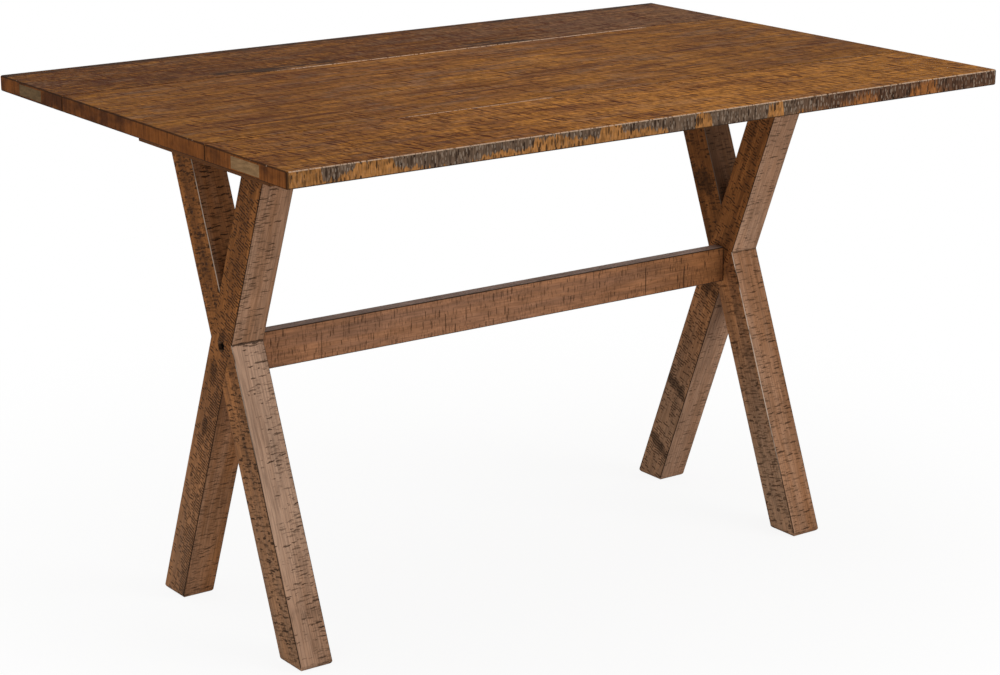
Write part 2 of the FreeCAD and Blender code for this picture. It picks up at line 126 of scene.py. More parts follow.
LEG_LOOKS = {
    "left_front_leg": {
        **FRONT_FOOT_LOOK, "seed": 10.0, "side": (1.05, 1.08), "front": (1.24, 1.06), "fawn_and_sheen": (0.02, 0.98),
        "dusty": 0.45, "golden_foot": 0.38, "hatch_share": (0.20, 0.12), "hatch_front": (0.0, 6.0),
        "ticks": (0.92, 0.50), "lean_to": (-0.12, 0.32), "depth": 0.90, "lap": 0.8,
        "pale_arris": (0.85, 0.45), "pale_end": -0.14, "stains": ((-0.395, 0.35),)},
    "left_rear_leg": {
        **REAR_FOOT_LOOK, "seed": 40.0, "side": (1.08, 1.12), "front": (1.08, 1.05), "fawn_and_sheen": (0.52, 0.18),
        "dusty": 0.30, "hatch_share": (0.06, 0.02), "hatch_front": (4.0, 16.0), "ticks": (0.68, 0.72),
        "lean_to": (-0.42, -0.03), "depth": 0.80, "lap": 0.8,
        "knots": ((0.002, 0.0, 0.017, 0.008), (-0.056, 0.004, 0.022, 0.009), (-0.150, 0.0, 0.016, 0.008))},
    "right_front_leg": {
        **FRONT_FOOT_LOOK, "seed": 70.0, "side": (0.86, 1.26), "front": (0.52, 1.15), "fawn_and_sheen": (0.30, 0.32),
        "dusty": 0.65, "hatch_share": (0.02, 0.24), "hatch_front": (0.0, 8.0), "ticks": (0.54, 0.68),
        "lean_to": (-0.05, 0.0), "depth": 0.78, "lap": 0.5, "pale_arris": (0.20, 1.0), "pale_end": -0.33,
        "knots": ((0.11, 0.0, 0.022, 0.022),)},
    "right_rear_leg": {
        **REAR_FOOT_LOOK, "seed": 100.0, "side": (1.00, 1.20), "front": (1.03, 1.02), "fawn_and_sheen": (0.55, 0.62),
        "dusty": 0.55, "hatch_share": (-0.12, -0.04), "hatch_front": (0.0, 0.0), "ticks": (0.52, 0.50),
        "lean_to": (-0.16, 0.10), "depth": 0.74, "lap": 0.5,
        "knots": ((-0.065, 0.0, 0.022, 0.028), (-0.275, 0.006, 0.010, 0.040), (-0.395, 0.004, 0.010, 0.045))},
}

# Directions of a piece: along its grain, across its width, through its thickness.
BOARD_RUN = ((1, 0, 0), (0, 1, 0), (0, 0, 1))
STRETCHER_RUN = ((1, 0, 0), (0, 0, 1), (0, 1, 0))
CROSS_RUN = ((0, 1, 0), (1, 0, 0), (0, 0, 1))

# Floor: half its width, and how far it lies under the soles. Softboxes: width, place and aim.
FLOOR_HALF = 25.0
FLOOR_DROP = 0.0006
FRONT_SOFTBOX = (2.4, (2.2, -3.4, 2.2), (0.0, 0.0, 0.45))
OVERHEAD_SOFTBOX = (2.6, (-0.4, 0.3, 3.2), (0.0, 0.0, 0.7))
SENSOR_WIDTH_MM = 36.0
WHITE = (1.0, 1.0, 1.0)


def tone(red, green, blue):
    """Linear colour of a tone given on the usual 0 to 255 scale."""
    def linear(value):
        value /= 255
        return value / 12.92 if value <= 0.04045 else ((value + 0.055) / 1.055) ** 2.4
    return linear(red), linear(green), linear(blue)


def colour_property(name, description, red, green, blue):
    """Colour setting with its default on the 0 to 255 scale."""
    return FloatVectorProperty(name=name, description=description, subtype="COLOR", size=3, min=0, max=1,
                               default=tone(red, green, blue))


def length_property(name, description, default):
    """Length setting in metres."""
    return FloatProperty(name=name, description=description, default=default, min=0, precision=4,
                         subtype="DISTANCE", unit="LENGTH")


def angle_property(name, description, degrees):
    """Angle setting."""
    return FloatProperty(name=name, description=description, default=math.radians(degrees), subtype="ANGLE",
                         unit="ROTATION")


def power_property(name, description, default):
    """Power of a lamp in watts."""
    return FloatProperty(name=name, description=description, default=default, min=0, unit="POWER")


def share_property(name, description, default):
    """Setting between none and all."""
    return FloatProperty(name=name, description=description, default=default, min=0, max=1, subtype="FACTOR")


class TableTopFinish(bpy.types.PropertyGroup):
    """Stain and saw marks of the three boards of the top."""
    honey: colour_property("Honey", "Lighter stain of the top faces", 153, 100, 42)
    tobacco: colour_property("Tobacco", "Deeper stain between the honey patches", 110, 67, 31)
    dun: colour_property("Dun", "Dull tone in the clouds of the top faces", 120, 92, 72)
    umber: colour_property("Umber", "Dark stain in the saw marks of the top faces", 62, 27, 8)
    soot: colour_property("Soot", "Black stain in the saw marks of the edges and in the blots", 40, 29, 23)
    edge_amber: colour_property("Edge amber", "Clean wood of the long edges", 150, 103, 58)
    edge_ash: colour_property("Edge ash", "Grey-brown sawn patches of the long edges", 89, 75, 64)
    edge_umber: colour_property("Edge umber", "Browner sawn patches of the edges' right end", 74, 55, 44)
    edge_flake: colour_property("Edge flake", "Pale fibres in the sawn patches", 152, 136, 120)
    end_russet: colour_property("End russet", "Lighter stain of the end grain", 130, 78, 40)
    end_umber: colour_property("End umber", "Deeper stain of the end grain", 80, 48, 30)
    # Pale colour of the upper arrises of the top: worn wood and a painted highlight.
    worn_and_highlight: colour_property("Worn arris", "Pale wood where an arris is rubbed bare", 208, 178, 152)
    saw_turn: angle_property("Saw turn", "Angle of the saw marks on the top from its length", 78.0)


class TableLegFinish(bpy.types.PropertyGroup):
    """Stain and saw marks of the legs, the stretcher, the rails and the lopers."""
    chestnut: colour_property("Chestnut", "Lighter stain of the side faces", 158, 102, 56)
    umber: colour_property("Umber", "Deeper stain of the side faces", 120, 76, 42)
    # Fawn carries a painted sheen as well as the lighter stain.
    fawn_and_sheen: colour_property("Fawn", "Lighter stain of the front and back faces", 166, 135, 113)
    clay: colour_property("Clay", "Deeper stain of the front and back faces", 128, 86, 54)
    dust: colour_property("Dust", "Paler tone towards the feet", 166, 138, 114)
    bark: colour_property("Bark", "Dark stain that sits in the saw marks", 46, 31, 22)
    soot: colour_property("Soot", "Black stain in the smudges and along the arrises", 38, 28, 22)
    # Pale colour of a leg's near arris: worn wood and a painted highlight.
    worn_and_highlight: colour_property("Worn arris", "Pale wood where an arris is rubbed bare", 228, 206, 186)
    tick_spacing: length_property("Tick spacing", "Distance between saw ticks along a leg", 0.0060)
    tick_length: length_property("Tick length", "Length of a saw tick on a leg's front", 0.017)
    lean: angle_property("Lean", "Lean of the legs from upright", 21.515)
    rail_fawn: colour_property("Stretcher light", "Lighter stain of the stretcher", 156, 108, 74)
    rail_clay: colour_property("Stretcher deep", "Deeper stain of the stretcher", 132, 94, 70)
    # The stretcher's upper face: dust, and painted light that makes it lighter from above.
    rail_dust_and_top_light: colour_property("Stretcher top", "Dull tone of the stretcher's upper face", 180, 160, 149)
    bearer: colour_property("Bearer", "Planed wood of rails and lopers", 104, 68, 42)


class TableFittingFinish(bpy.types.PropertyGroup):
    """Plugs and metal fittings."""
    plug_pale: colour_property("Front plug", "Pale wood of the front leaf's plugs", 144, 113, 79)
    plug_dull: colour_property("Rear plug", "Duller wood of the rear leaf's plugs", 108, 86, 60)
    dowel: colour_property("Dowel", "Bare beech of the dowels", 190, 150, 105)
    bolt_black: colour_property("Bolt", "Black oxide of the stretcher bolts", 34, 31, 29)
    plated: colour_property("Screw", "Yellow zinc of the screws", 176, 156, 112)
    brass: colour_property("Hinge", "Aged brass of the hinges", 158, 124, 70)


class TableStage(bpy.types.PropertyGroup):
    """Floor, light and camera."""
    paper: colour_property("Paper", "Floor and backdrop", 246, 245, 243)
    ambient: FloatProperty(name="Ambient", description="Even light from all round", default=0.55, min=0)
    key_power: power_property("Key", "Power of the large front softbox", 75.0)
    top_power: power_property("Overhead", "Power of the overhead softbox", 40.0)
    shadow_share: share_property("Shadow", "How much of the floor's shading the camera sees", 0.10)
    shadow_start: length_property("Shadow start", "Distance from the middle where the shading fades", 0.55)
    shadow_end: length_property("Shadow end", "Distance from the middle where the shading ends", 1.5)
    camera_place: FloatVectorProperty(name="Camera", description="Place of the camera", subtype="TRANSLATION",
                                      unit="LENGTH", default=(-2.1303, -2.9767, 1.4114))
    camera_turn: FloatVectorProperty(name="Camera turn", description="Rotation of the camera",
                                     subtype="EULER", unit="ROTATION",
                                     default=(math.radians(73.927), 0.0, math.radians(-35.557)))
    lens_mm: FloatProperty(name="Lens", description="Focal length in millimetres", default=90.67, min=1)


def fill(tree, socket, value):
    """Link an output to a socket, or set a plain value."""
    if isinstance(value, bpy.types.NodeSocket):
        tree.links.new(value, socket)
    elif socket.type == "RGBA":
        socket.default_value = (*value[:3], 1.0)
    else:
        socket.default_value = value


def add_node(tree, kind, inputs=None, **settings):
    """Add a shader node, set it up and fill its inputs, given by name or number."""
    node = tree.nodes.new(kind)
    for name, value in settings.items():
        setattr(node, name, value)
    for key, value in (inputs or {}).items():
        fill(tree, node.inputs[key], value)
    return node


def empty_tree(owner):
    """Node tree of a new material or world, with nothing in it."""
    owner.use_nodes = True
    owner.node_tree.nodes.clear()
    return owner.node_tree


class Finish:
    """A procedural material in the making: every method adds nodes and returns an output socket."""

    def __init__(self, name, run, seed):
        self.material = bpy.data.materials.new(name)
        self.tree = empty_tree(self.material)
        self.shader = self.add("ShaderNodeBsdfPrincipled")
        self.add("ShaderNodeOutputMaterial", {"Surface": self.shader.outputs[0]})
        source = self.add("ShaderNodeTexCoord")
        self.spot = source.outputs["Object"]
        self.place = [self.dot(self.spot, direction) for direction in run]
        self.facing = [self.dot(source.outputs["Normal"], direction) for direction in run]
        self.seed = seed

    def add(self, kind, inputs=None, **settings):
        """Add a node to the material."""
        return add_node(self.tree, kind, inputs, **settings)

    def vector(self, operation, inputs, output=0):
        """Result of a vector operation."""
        return self.add("ShaderNodeVectorMath", inputs, operation=operation).outputs[output]

    def math(self, operation, *values, clamp=False):
        """Result of an operation on plain values."""
        inputs = dict(enumerate(values))
        return self.add("ShaderNodeMath", inputs, operation=operation, use_clamp=clamp).outputs[0]

    def dot(self, vector, direction):
        """How far a vector reaches in a direction."""
        return self.vector("DOT_PRODUCT", {0: vector, 1: direction}, "Value")

    def times(self, value, factor, plus=0.0, clamp=False):
        """A value times a factor, plus another value."""
        return self.math("MULTIPLY_ADD", value, factor, plus, clamp=clamp)

    def plus(self, first, second):
        """Sum of two values."""
        return self.math("ADD", first, second)

    def minus(self, first, second):
        """Difference of two values."""
        return self.math("SUBTRACT", first, second)

    def gap(self, first, second):
        """Distance between two values."""
        return self.math("ABSOLUTE", self.minus(first, second))

    def squared(self, first, second, size):
        """Square of the distance between two values, counted in a size."""
        return self.math("POWER", self.times(self.minus(first, second), 1 / size), 2.0)

    def off(self, mask):
        """Everything that a mask leaves out."""
        return self.minus(1.0, mask)

    def either(self, first, second):
        """The larger of two masks."""
        return self.math("MAXIMUM", first, second)

    def both(self, *masks):
        """Product of masks."""
        product = masks[0]
        for mask in masks[1:]:
            product = self.times(product, mask)
        return product

    def smooth(self, value, low, high):
        """0 below low, 1 above high, eased between; low may be the greater."""
        start, stop = (1.0, 0.0) if low > high else (0.0, 1.0)
        inputs = {"Value": value, "From Min": min(low, high), "From Max": max(low, high),
                  "To Min": start, "To Max": stop}
        return self.add("ShaderNodeMapRange", inputs, interpolation_type="SMOOTHSTEP").outputs["Result"]

    def mix(self, share, first, second):
        """Blend of two colours."""
        return self.add("ShaderNodeMix", {0: share, 6: first, 7: second}, data_type="RGBA").outputs[2]

    def cover(self, colour, over, mask, strength):
        """Colour with another laid over it, as strongly as said, where a mask is 1."""
        return self.mix(self.times(mask, strength), colour, over)

    def shade(self, colour, strength):
        """Colour times a brightness."""
        return self.vector("SCALE", {0: colour, "Scale": strength})

    def vary(self, colour, value, gain, base):
        """Colour times a brightness that grows with a value."""
        return self.shade(colour, self.times(value, gain, base))

    def counted(self, places, sizes, offset):
        """Two or three places as one vector, counted in the given sizes."""
        inputs = {}
        for axis, (place, size) in enumerate(zip(places, sizes)):
            inputs[axis] = self.times(place, 1 / size, self.seed + offset)
        return self.add("ShaderNodeCombineXYZ", inputs).outputs[0]

    def noise(self, sizes, detail, roughness, slant=(0.0, 0.0), drift=0.0, offset=0.0):
        """Noise with the given feature size, in metres, along, across and through the piece.

        slant shears the pattern: how far along it shifts for each metre across and through.
        """
        along, across, through = self.place
        for place, amount in ((across, slant[0]), (through, slant[1])):
            if amount:
                along = self.times(place, amount, along)
        inputs = {"Vector": self.counted((along, across, through), sizes, offset), "Scale": 1.0,
                  "Detail": detail, "Roughness": roughness, "Distortion": drift}
        return self.add("ShaderNodeTexNoise", inputs).outputs["Fac"]

    def ripple(self, places, sizes, offset, detail=1.0, roughness=0.5):
        """Flat noise over two places, with features of the given sizes."""
        inputs = {"Vector": self.counted(places, sizes, offset), "Scale": 1.0, "Detail": detail,
                  "Roughness": roughness}
        return self.add("ShaderNodeTexNoise", inputs, noise_dimensions="2D").outputs["Fac"]

    def strokes(self, first, second, cell, half, share, spread, wave=0.0, offset=0.0):
        """Mask of scattered strokes over two places, one to a cell, with the half sizes given in metres.

        Each has a size and a strength of its own, and they sway by wave, in metres. share and spread say how
        many are there, as in some.
        """
        if wave:
            sway = self.ripple((first, second), (cell[0], 0.4 * cell[1]), offset)
            first = self.times(sway, wave, first)
        spots = self.counted((first, second), cell, offset)
        cells = self.add("ShaderNodeTexVoronoi", {"Vector": spots, "Scale": 1.0}, voronoi_dimensions="2D",
                         feature="F1")
        away = self.vector("SUBTRACT", {0: spots, 1: cells.outputs["Position"]})
        away = self.vector("MULTIPLY", {0: away, 1: (cell[0] / half[0], cell[1] / half[1], 0.0)})
        reach = self.vector("LENGTH", {0: away}, "Value")
        chances = self.add("ShaderNodeSeparateColor", {0: cells.outputs["Color"]}).outputs
        size = self.times(chances[0], 0.9, 0.55)
        stroke = self.smooth(self.math("DIVIDE", reach, size), 1.08, 0.72)
        strength = self.times(chances[2], 0.60, 0.40)
        return self.some(self.both(stroke, strength), chances[1], share, spread)

    def saw_lines(self, first, second, step, length, share, spread, wave, offset):
        """Mask of parallel saw lines a step apart in first, each broken in its own way along second.

        The breaks come about once in the given length. share and spread say how many there are, as in some,
        and wave how far the lines sway, in steps.
        """
        sway = self.ripple((first, second), (5 * step, length), offset)
        place = self.times(sway, wave, self.times(first, 1 / step))
        line = self.math("FLOOR", place)
        breaks = self.ripple((line, second), (0.137, length), offset)
        gap = self.gap(self.math("FRACT", place), 0.5)
        return self.some(self.smooth(gap, 0.34, 0.14), breaks, share, spread)

    def split(self, mask, values):
        """The first value where the mask is 1, and the second where it is 0."""
        return self.times(mask, values[0] - values[1], values[1])

    def some(self, mask, chance, share, spread):
        """The marks of a mask that are there: a mark's chance, times the spread, shifts the place's share."""
        level = self.plus(share, self.times(chance, spread, -0.5 * spread))
        return self.both(mask, self.smooth(level, 0.46, 0.54))

    def face(self, index):
        """Mask of the faces that look along one of the piece's directions, either way."""
        return self.smooth(self.math("ABSOLUTE", self.facing[index]), 0.70, 0.72)

    def arris(self):
        """Mask of the eased edges, where the surface looks along none of the piece's directions."""
        sizes = [self.math("ABSOLUTE", value) for value in self.facing]
        return self.smooth(self.either(self.either(sizes[0], sizes[1]), sizes[2]), 0.985, 0.94)

    def bump(self, height, depth):
        """Normal of a relief with the given depth in metres."""
        return self.add("ShaderNodeBump", {"Strength": 1.0, "Distance": depth, "Height": height}).outputs[0]

    def surface(self, colour, roughness, normal, metallic=0.0, specular=0.5):
        """Set the shader and hand the material over."""
        inputs = {"Base Color": colour, "Roughness": roughness, "Normal": normal, "Metallic": metallic,
                  "Specular IOR Level": specular}
        for name, value in inputs.items():
            fill(self.tree, self.shader.inputs[name], value)
        return self.material

    def stained(self, colour, gloss, streak, grain, marks, sink):
        """Surface of stained wood: the grain stands out, and the saw marks lie sunk in it."""
        relief = self.minus(self.times(grain, 0.4), self.times(marks, sink))
        roughness = self.times(streak, *STAIN_ROUGHNESS)
        return self.surface(colour, roughness, self.bump(relief, SAW_DEPTH), specular=gloss)


def dress(names, material):
    """Give CAD nodes a finish."""
    for name in names:
        if name not in NODES:
            raise RuntimeError("The frame has no node named " + name)
        slots = NODES[name].data.materials
        if not slots:
            slots.append(material)
        for index in range(len(slots)):
            slots[index] = material


def top_board(settings, name, look):
    """Finish of one board of the top: sawn face, combed dark edge patches and russet ends."""
    wood = Finish(name + "_wood", BOARD_RUN, look["seed"])
    along, across, through = wood.place

    # Stain, grain and shadows of the upper and lower faces.
    cloud = wood.noise((0.17, 0.055, 0.055), 3.0, 0.6, offset=7.0)
    mottle = wood.noise((look["patch"], 0.018, 0.018), 5.0, 0.7, drift=0.6)
    streak = wood.noise((0.30, 0.018, 0.018), 3.0, 0.6, drift=0.3, offset=9.0)
    honey = wood.times(cloud, 0.35, wood.times(mottle, 0.35))
    honey = wood.times(streak, 0.30, honey)
    honey = wood.times(wood.smooth(along, -0.5, 0.6), look.get("honey_right", 0.0), honey)
    honey = wood.smooth(honey, 0.59 - 0.36 * look["honey"], 0.81 - 0.36 * look["honey"])
    face = wood.mix(honey, settings.tobacco, settings.honey)
    dull = wood.noise((0.11, 0.022, 0.022), 4.0, 0.65, drift=0.6, offset=13.0)
    # On the rear leaf the dun grows to the right, as dull stain and a painted sheen.
    dull = wood.times(wood.smooth(along, -0.1, 0.5), look.get("dun_sheen_right", 0.0), dull)
    face = wood.cover(face, settings.dun, wood.smooth(dull, 0.50, 0.66), look["dun"])
    turn = settings.saw_turn
    beside = wood.dot(wood.spot, (math.sin(turn), math.cos(turn), 0))
    stroke = wood.dot(wood.spot, (math.cos(turn), -math.sin(turn), 0))
    grain = wood.smooth(wood.noise((0.045, 0.0060, 0.0060), 3.0, 0.65, drift=0.3, offset=3.0), 0.36, 0.64)
    speckle = wood.ripple((beside, stroke), (0.0055, 0.0100), 5.0, 2.0, 0.6)
    speckle = wood.smooth(speckle, 0.34, 0.66)
    dusk = wood.times(wood.smooth(along, -0.10, -0.50), look["dusk"][0])
    dusk = wood.times(wood.smooth(along, 0.10, 0.50), look["dusk"][1], dusk)
    face = wood.vary(face, grain, look["grain"], 1 - look["grain"] / 2)
    face = wood.vary(face, speckle, look["speckle"], 1 - look["speckle"] / 2)
    face = wood.shade(face, wood.minus(look["tone"], dusk))
    shadow = wood.noise((0.22, 0.012, 0.012), 4.0, 0.60, drift=0.4, offset=67.0)
    face = wood.cover(face, settings.umber, wood.smooth(shadow, 0.54, 0.68), look["streaks"])

    # Saw marks and blots on them.
    cluster = wood.noise((0.075, 0.045, 0.045), 4.0, 0.65, offset=11.0)
    cluster = wood.plus(cluster, look["fleck"] - 0.5)
    cluster = wood.times(wood.smooth(along, -0.4, 0.2), look.get("fleck_right", 0.0), cluster)
    broad = wood.strokes(beside, stroke, (0.0105, 0.034), (0.0021, 0.0150), cluster, 0.6,
                         wave=0.004, offset=17.0)
    slim = wood.strokes(beside, stroke, (0.0066, 0.021), (0.0014, 0.0095), wood.plus(cluster, 0.06), 0.7,
                        wave=0.003, offset=23.0)
    blot = wood.noise((0.080, 0.011, 0.011), 4.0, 0.65, drift=0.5, offset=29.0)
    for line, width, middle, half_length in look.get("blot_lines", ()):
        beside_line = wood.gap(across, line)
        from_middle = wood.gap(along, middle)
        near = wood.both(wood.smooth(beside_line, width, 0.5 * width),
                         wood.smooth(from_middle, half_length + 0.03, half_length))
        blot = wood.times(near, 0.21, blot)
    blot = wood.smooth(blot, 0.76 - 0.18 * look["blot"], 0.84 - 0.18 * look["blot"])
    face = wood.cover(face, settings.umber, slim, 0.75 * look["depth"])
    face = wood.cover(face, settings.umber, broad, 0.90 * look["depth"])
    face = wood.cover(face, settings.soot, blot, 0.80)

    # Long edges: clean wood and combed dark patches.
    height = wood.math("DIVIDE", wood.minus(through, TOP_Z - BOARD_THICKNESS), BOARD_THICKNESS)
    teeth = wood.noise((0.0044, 0.05, 0.060), 2.0, 0.6, offset=31.0)
    patch = wood.noise((0.085, 0.5, 0.120), 3.0, 0.55, offset=37.0)
    right_end = wood.smooth(along, FRONT_EDGE_BROWN - 0.06, FRONT_EDGE_BROWN + 0.06)
    seam_edge = wood.smooth(wood.math("ABSOLUTE", across), SEAM_Y + 0.08, SEAM_Y + 0.04)
    ash = wood.times(height, 0.75, wood.times(patch, 1.5))
    ash = wood.times(teeth, 0.70, ash)
    ash = wood.times(wood.smooth(along, -0.03, 0.01), 0.45, ash)
    ash = wood.times(seam_edge, -0.70, ash)
    for start, stop, cleanness in FRONT_EDGE_CLEAN:
        clean = wood.both(wood.smooth(along, start - 0.003, start + 0.003),
                          wood.smooth(along, stop + 0.003, stop - 0.003))
        ash = wood.times(clean, -cleanness, ash)
    sharp = wood.smooth(ash, 1.37, 1.47)
    ash = wood.plus(wood.both(wood.smooth(ash, 1.15, 1.75), right_end),
                    wood.both(sharp, wood.off(right_end)))
    kerf = wood.noise((0.0028, 0.05, 0.014), 2.0, 0.6, offset=41.0)
    comb = wood.strokes(along, through, (0.0046, 0.012), (0.0016, 0.0060), wood.times(ash, -0.04, 0.68), 0.9,
                        wave=0.0012, offset=43.0)
    flake = wood.strokes(along, through, (0.0042, 0.0075), (0.0009, 0.0030), 0.66, 0.9, offset=45.0)
    flake = wood.both(flake, wood.times(ash, 0.8, 0.2))
    edge = wood.cover(settings.edge_amber, settings.end_russet, wood.either(right_end, seam_edge), 0.7)
    edge = wood.vary(edge, mottle, 1.1, 0.47)
    sawn = wood.mix(right_end, settings.edge_ash, settings.edge_umber)
    edge = wood.cover(edge, sawn, ash, 0.92)
    edge = wood.vary(edge, kerf, 2.0, 0.0)
    edge = wood.cover(edge, settings.soot, comb, 0.90)
    edge = wood.cover(edge, settings.edge_flake, flake, 0.70)

    # Ends.
    line = wood.noise((0.05, 0.0030, 0.060), 3.0, 0.6, offset=47.0)
    cloud = wood.noise((0.05, 0.050, 0.035), 3.0, 0.6, offset=49.0)
    crack = wood.strokes(across, through, (0.012, 0.024), (0.0011, 0.009), 0.44, 0.9, wave=0.003, offset=53.0)
    cloud = wood.times(wood.smooth(across, 0.30, -0.30), 0.16, cloud)
    end = wood.mix(wood.smooth(cloud, 0.38, 0.72), settings.end_umber, settings.end_russet)
    end = wood.vary(end, line, 1.3, 0.35)
    end = wood.cover(end, settings.soot, crack, 0.75)

    colour = wood.mix(wood.face(1), face, edge)
    colour = wood.mix(wood.face(0), colour, end)

    # Arrises: darker at the ends, painted shade along the lower arrises, and pale in places along the upper
    # ones as worn wood and a painted highlight.
    arris = wood.arris()
    on_end = wood.smooth(wood.math("ABSOLUTE", wood.facing[0]), 0.10, 0.30)
    rear_side = wood.smooth(wood.facing[1], -0.1, 0.1)
    (middle, reach), (rear_middle, rear_reach) = look["worn_and_highlit_arris"]
    away = wood.gap(along, wood.split(rear_side, (rear_middle, middle)))
    away = wood.minus(away, wood.split(rear_side, (rear_reach, reach)))
    rub_and_highlight = wood.noise((0.05, 0.05, 0.05), 3.0, 0.6, offset=59.0)
    rub_and_highlight = wood.smooth(wood.times(wood.smooth(away, 0.08, -0.08), 0.50, rub_and_highlight), 0.66, 0.82)
    bead = wood.smooth(wood.noise((0.0036, 0.05, 0.05), 2.0, 0.6, offset=63.0), 0.30, 0.52)
    crest = wood.both(wood.smooth(wood.facing[2], 0.30, 0.42), wood.smooth(wood.facing[2], 0.94, 0.86))
    shaded_lower_rim = wood.smooth(wood.facing[2], 0.1, -0.1)
    worn_and_highlit_arris = wood.both(wood.off(on_end), crest, rub_and_highlight, bead)
    chip = wood.smooth(wood.noise((0.05, 0.012, 0.012), 3.0, 0.7, offset=61.0), 0.66, 0.72)
    chipped = wood.both(arris, on_end, chip)
    # Painted shade: the arrises facing down are darkened, and the end arrises are darker too.
    dark_and_shaded_rim = wood.times(wood.either(on_end, shaded_lower_rim), 0.55, 0.20)
    colour = wood.mix(wood.both(arris, dark_and_shaded_rim), colour, settings.soot)
    # The upper arrises turn pale as worn wood and a painted highlight; the chipped end arrises as worn wood.
    colour = wood.cover(colour, settings.worn_and_highlight, wood.either(worn_and_highlit_arris, chipped), look["pale"])

    marks = wood.either(wood.either(broad, slim), wood.times(blot, 0.6))
    marks = wood.mix(wood.face(2), comb, marks)
    return wood.stained(colour, TOP_GLOSS, mottle, grain, marks, 0.6)


def leg_timber(settings, name, look):
    """Finish of one leg: hatched side faces, ticked front and back faces, painted light and shade in the
    brightness of its faces, dark arrises, and a pale near arris of worn wood and painted highlight.
    """
    foot_sign = -1 if "front" in name else 1
    wood = Finish(name, leg_run(settings, foot_sign), look["seed"])
    up, across, through = wood.place
    across = wood.minus(across, foot_sign * CROSSING_Z * math.sin(settings.lean))
    up = wood.minus(up, CROSSING_Z * math.cos(settings.lean))
    left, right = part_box(name)[0].x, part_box(name)[1].x
    sideways = wood.times(through, 2 / (right - left), -(left + right) / (right - left))
    above = wood.smooth(up, -0.02, 0.02)
    on_side = wood.face(2)

    # Stain and grain.
    streak = wood.noise((0.22, 0.016, 0.016), 4.0, 0.6)
    grain = wood.noise((0.12, 0.0034, 0.0034), 3.0, 0.65, offset=3.0)
    fibre = wood.noise((0.045, 0.0022, 0.0022), 2.0, 0.6, offset=5.0)
    cloud = wood.noise((0.09, 0.040, 0.040), 3.0, 0.6, offset=7.0)
    side = wood.mix(wood.smooth(streak, 0.35, 0.68), settings.umber, settings.chestnut)
    low = wood.smooth(up, 0.10, -0.42)
    side = wood.cover(side, settings.dust, low, look["dusty"])
    # Brightness of the side faces above and below the crossing, partly painted light and shade.
    side = wood.shade(side, wood.split(above, look["side"]))
    # Share of the fawn stain, which also stands in for a painted sheen on the front and back faces.
    fawn_and_sheen = wood.times(wood.minus(streak, 0.5), 0.9, wood.split(above, look["fawn_and_sheen"]))
    fawn_and_sheen = wood.times(wood.smooth(up, -0.20, -0.42), -look.get("golden_foot", 0.0), fawn_and_sheen)
    fawn_and_sheen = wood.times(sideways, wood.times(above, 0.06, -0.10), fawn_and_sheen, clamp=True)
    front = wood.mix(fawn_and_sheen, settings.clay, settings.fawn_and_sheen)
    # Brightness of the front faces above and below the crossing, partly painted light and shade, such as the
    # painted shadow of the top on the right front leg.
    front = wood.shade(front, wood.split(above, look["front"]))
    base = wood.mix(on_side, front, side)
    base = wood.vary(base, grain, 0.55, 0.725)
    base = wood.vary(base, wood.smooth(fibre, 0.34, 0.66), 0.36, 0.82)
    base = wood.vary(base, cloud, 0.80, 0.60)

    # Knots.
    knots = None
    gnarl = wood.noise((0.005, 0.004, 0.004), 3.0, 0.65, slant=(-0.6, 0.0), offset=35.0)
    tilted = wood.times(across, -0.25, up)
    for rise, aside, tall, wide in look.get("knots", ()):
        knot = wood.plus(wood.squared(tilted, rise, tall), wood.squared(across, aside, wide))
        knot = wood.smooth(wood.times(wood.minus(gnarl, 0.5), 3.6, knot), 1.6, 0.1)
        knots = wood.either(knots, knot) if knots else knot

    # Hatching and dots of the side faces.
    crowd = wood.noise((0.045, 0.030, 0.030), 3.0, 0.6, offset=11.0)
    crowd = wood.times(crowd, 1.6, -0.3)
    held = wood.plus(crowd, wood.split(above, look["hatch_share"]))
    held = wood.minus(held, wood.times(across, wood.split(above, look["hatch_front"])))
    if knots:
        held = wood.times(knots, 0.4, held)
    slanted = wood.times(across, look["hatch_slant"], up)
    length, wave = look["hatch"], look["wave"]
    if "saw_step" in look:
        hatch = wood.saw_lines(slanted, across, look["saw_step"], length, held, 2.4, wave=1.2, offset=17.0)
    else:
        hatch = wood.strokes(slanted, across, (look["hatch_step"], length),
                             (look["hatch_width"], 0.42 * length), held, 0.8, wave=wave, offset=17.0)
    hairs = wood.strokes(slanted, across, (0.0034, 0.014), (0.0006, 0.006), wood.plus(held, 0.06), 0.9,
                         wave=wave, offset=19.0)
    held = wood.plus(held, wood.split(above, look["dots"]))
    dots = wood.strokes(up, across, (0.0090, 0.0140), (0.0020, 0.0036), held, 0.6, wave=0.005, offset=23.0)
    on_sides = wood.either(wood.either(hatch, dots), wood.times(hairs, 0.60))

    # Ticks of the front and back faces.
    crowd = wood.noise((0.040, 0.020, 0.020), 3.0, 0.6, offset=29.0)
    held = wood.plus(wood.times(crowd, 1.5, -0.75), wood.split(above, look["ticks"]))
    held = wood.times(sideways, wood.split(above, look["lean_to"]), held)
    length = settings.tick_length
    tick = wood.strokes(wood.times(through, -0.03, up), through, (settings.tick_spacing, length),
                        (0.0010, 0.40 * length), held, 0.5, wave=0.003, offset=31.0)
    thin = wood.strokes(up, through, (0.0042, 0.011), (0.0006, 0.0046), wood.plus(held, -0.05), 0.6,
                        wave=0.002, offset=33.0)
    tick = wood.either(tick, wood.times(thin, 0.55))
    marks = wood.plus(wood.both(on_sides, on_side), wood.both(tick, wood.off(on_side)))

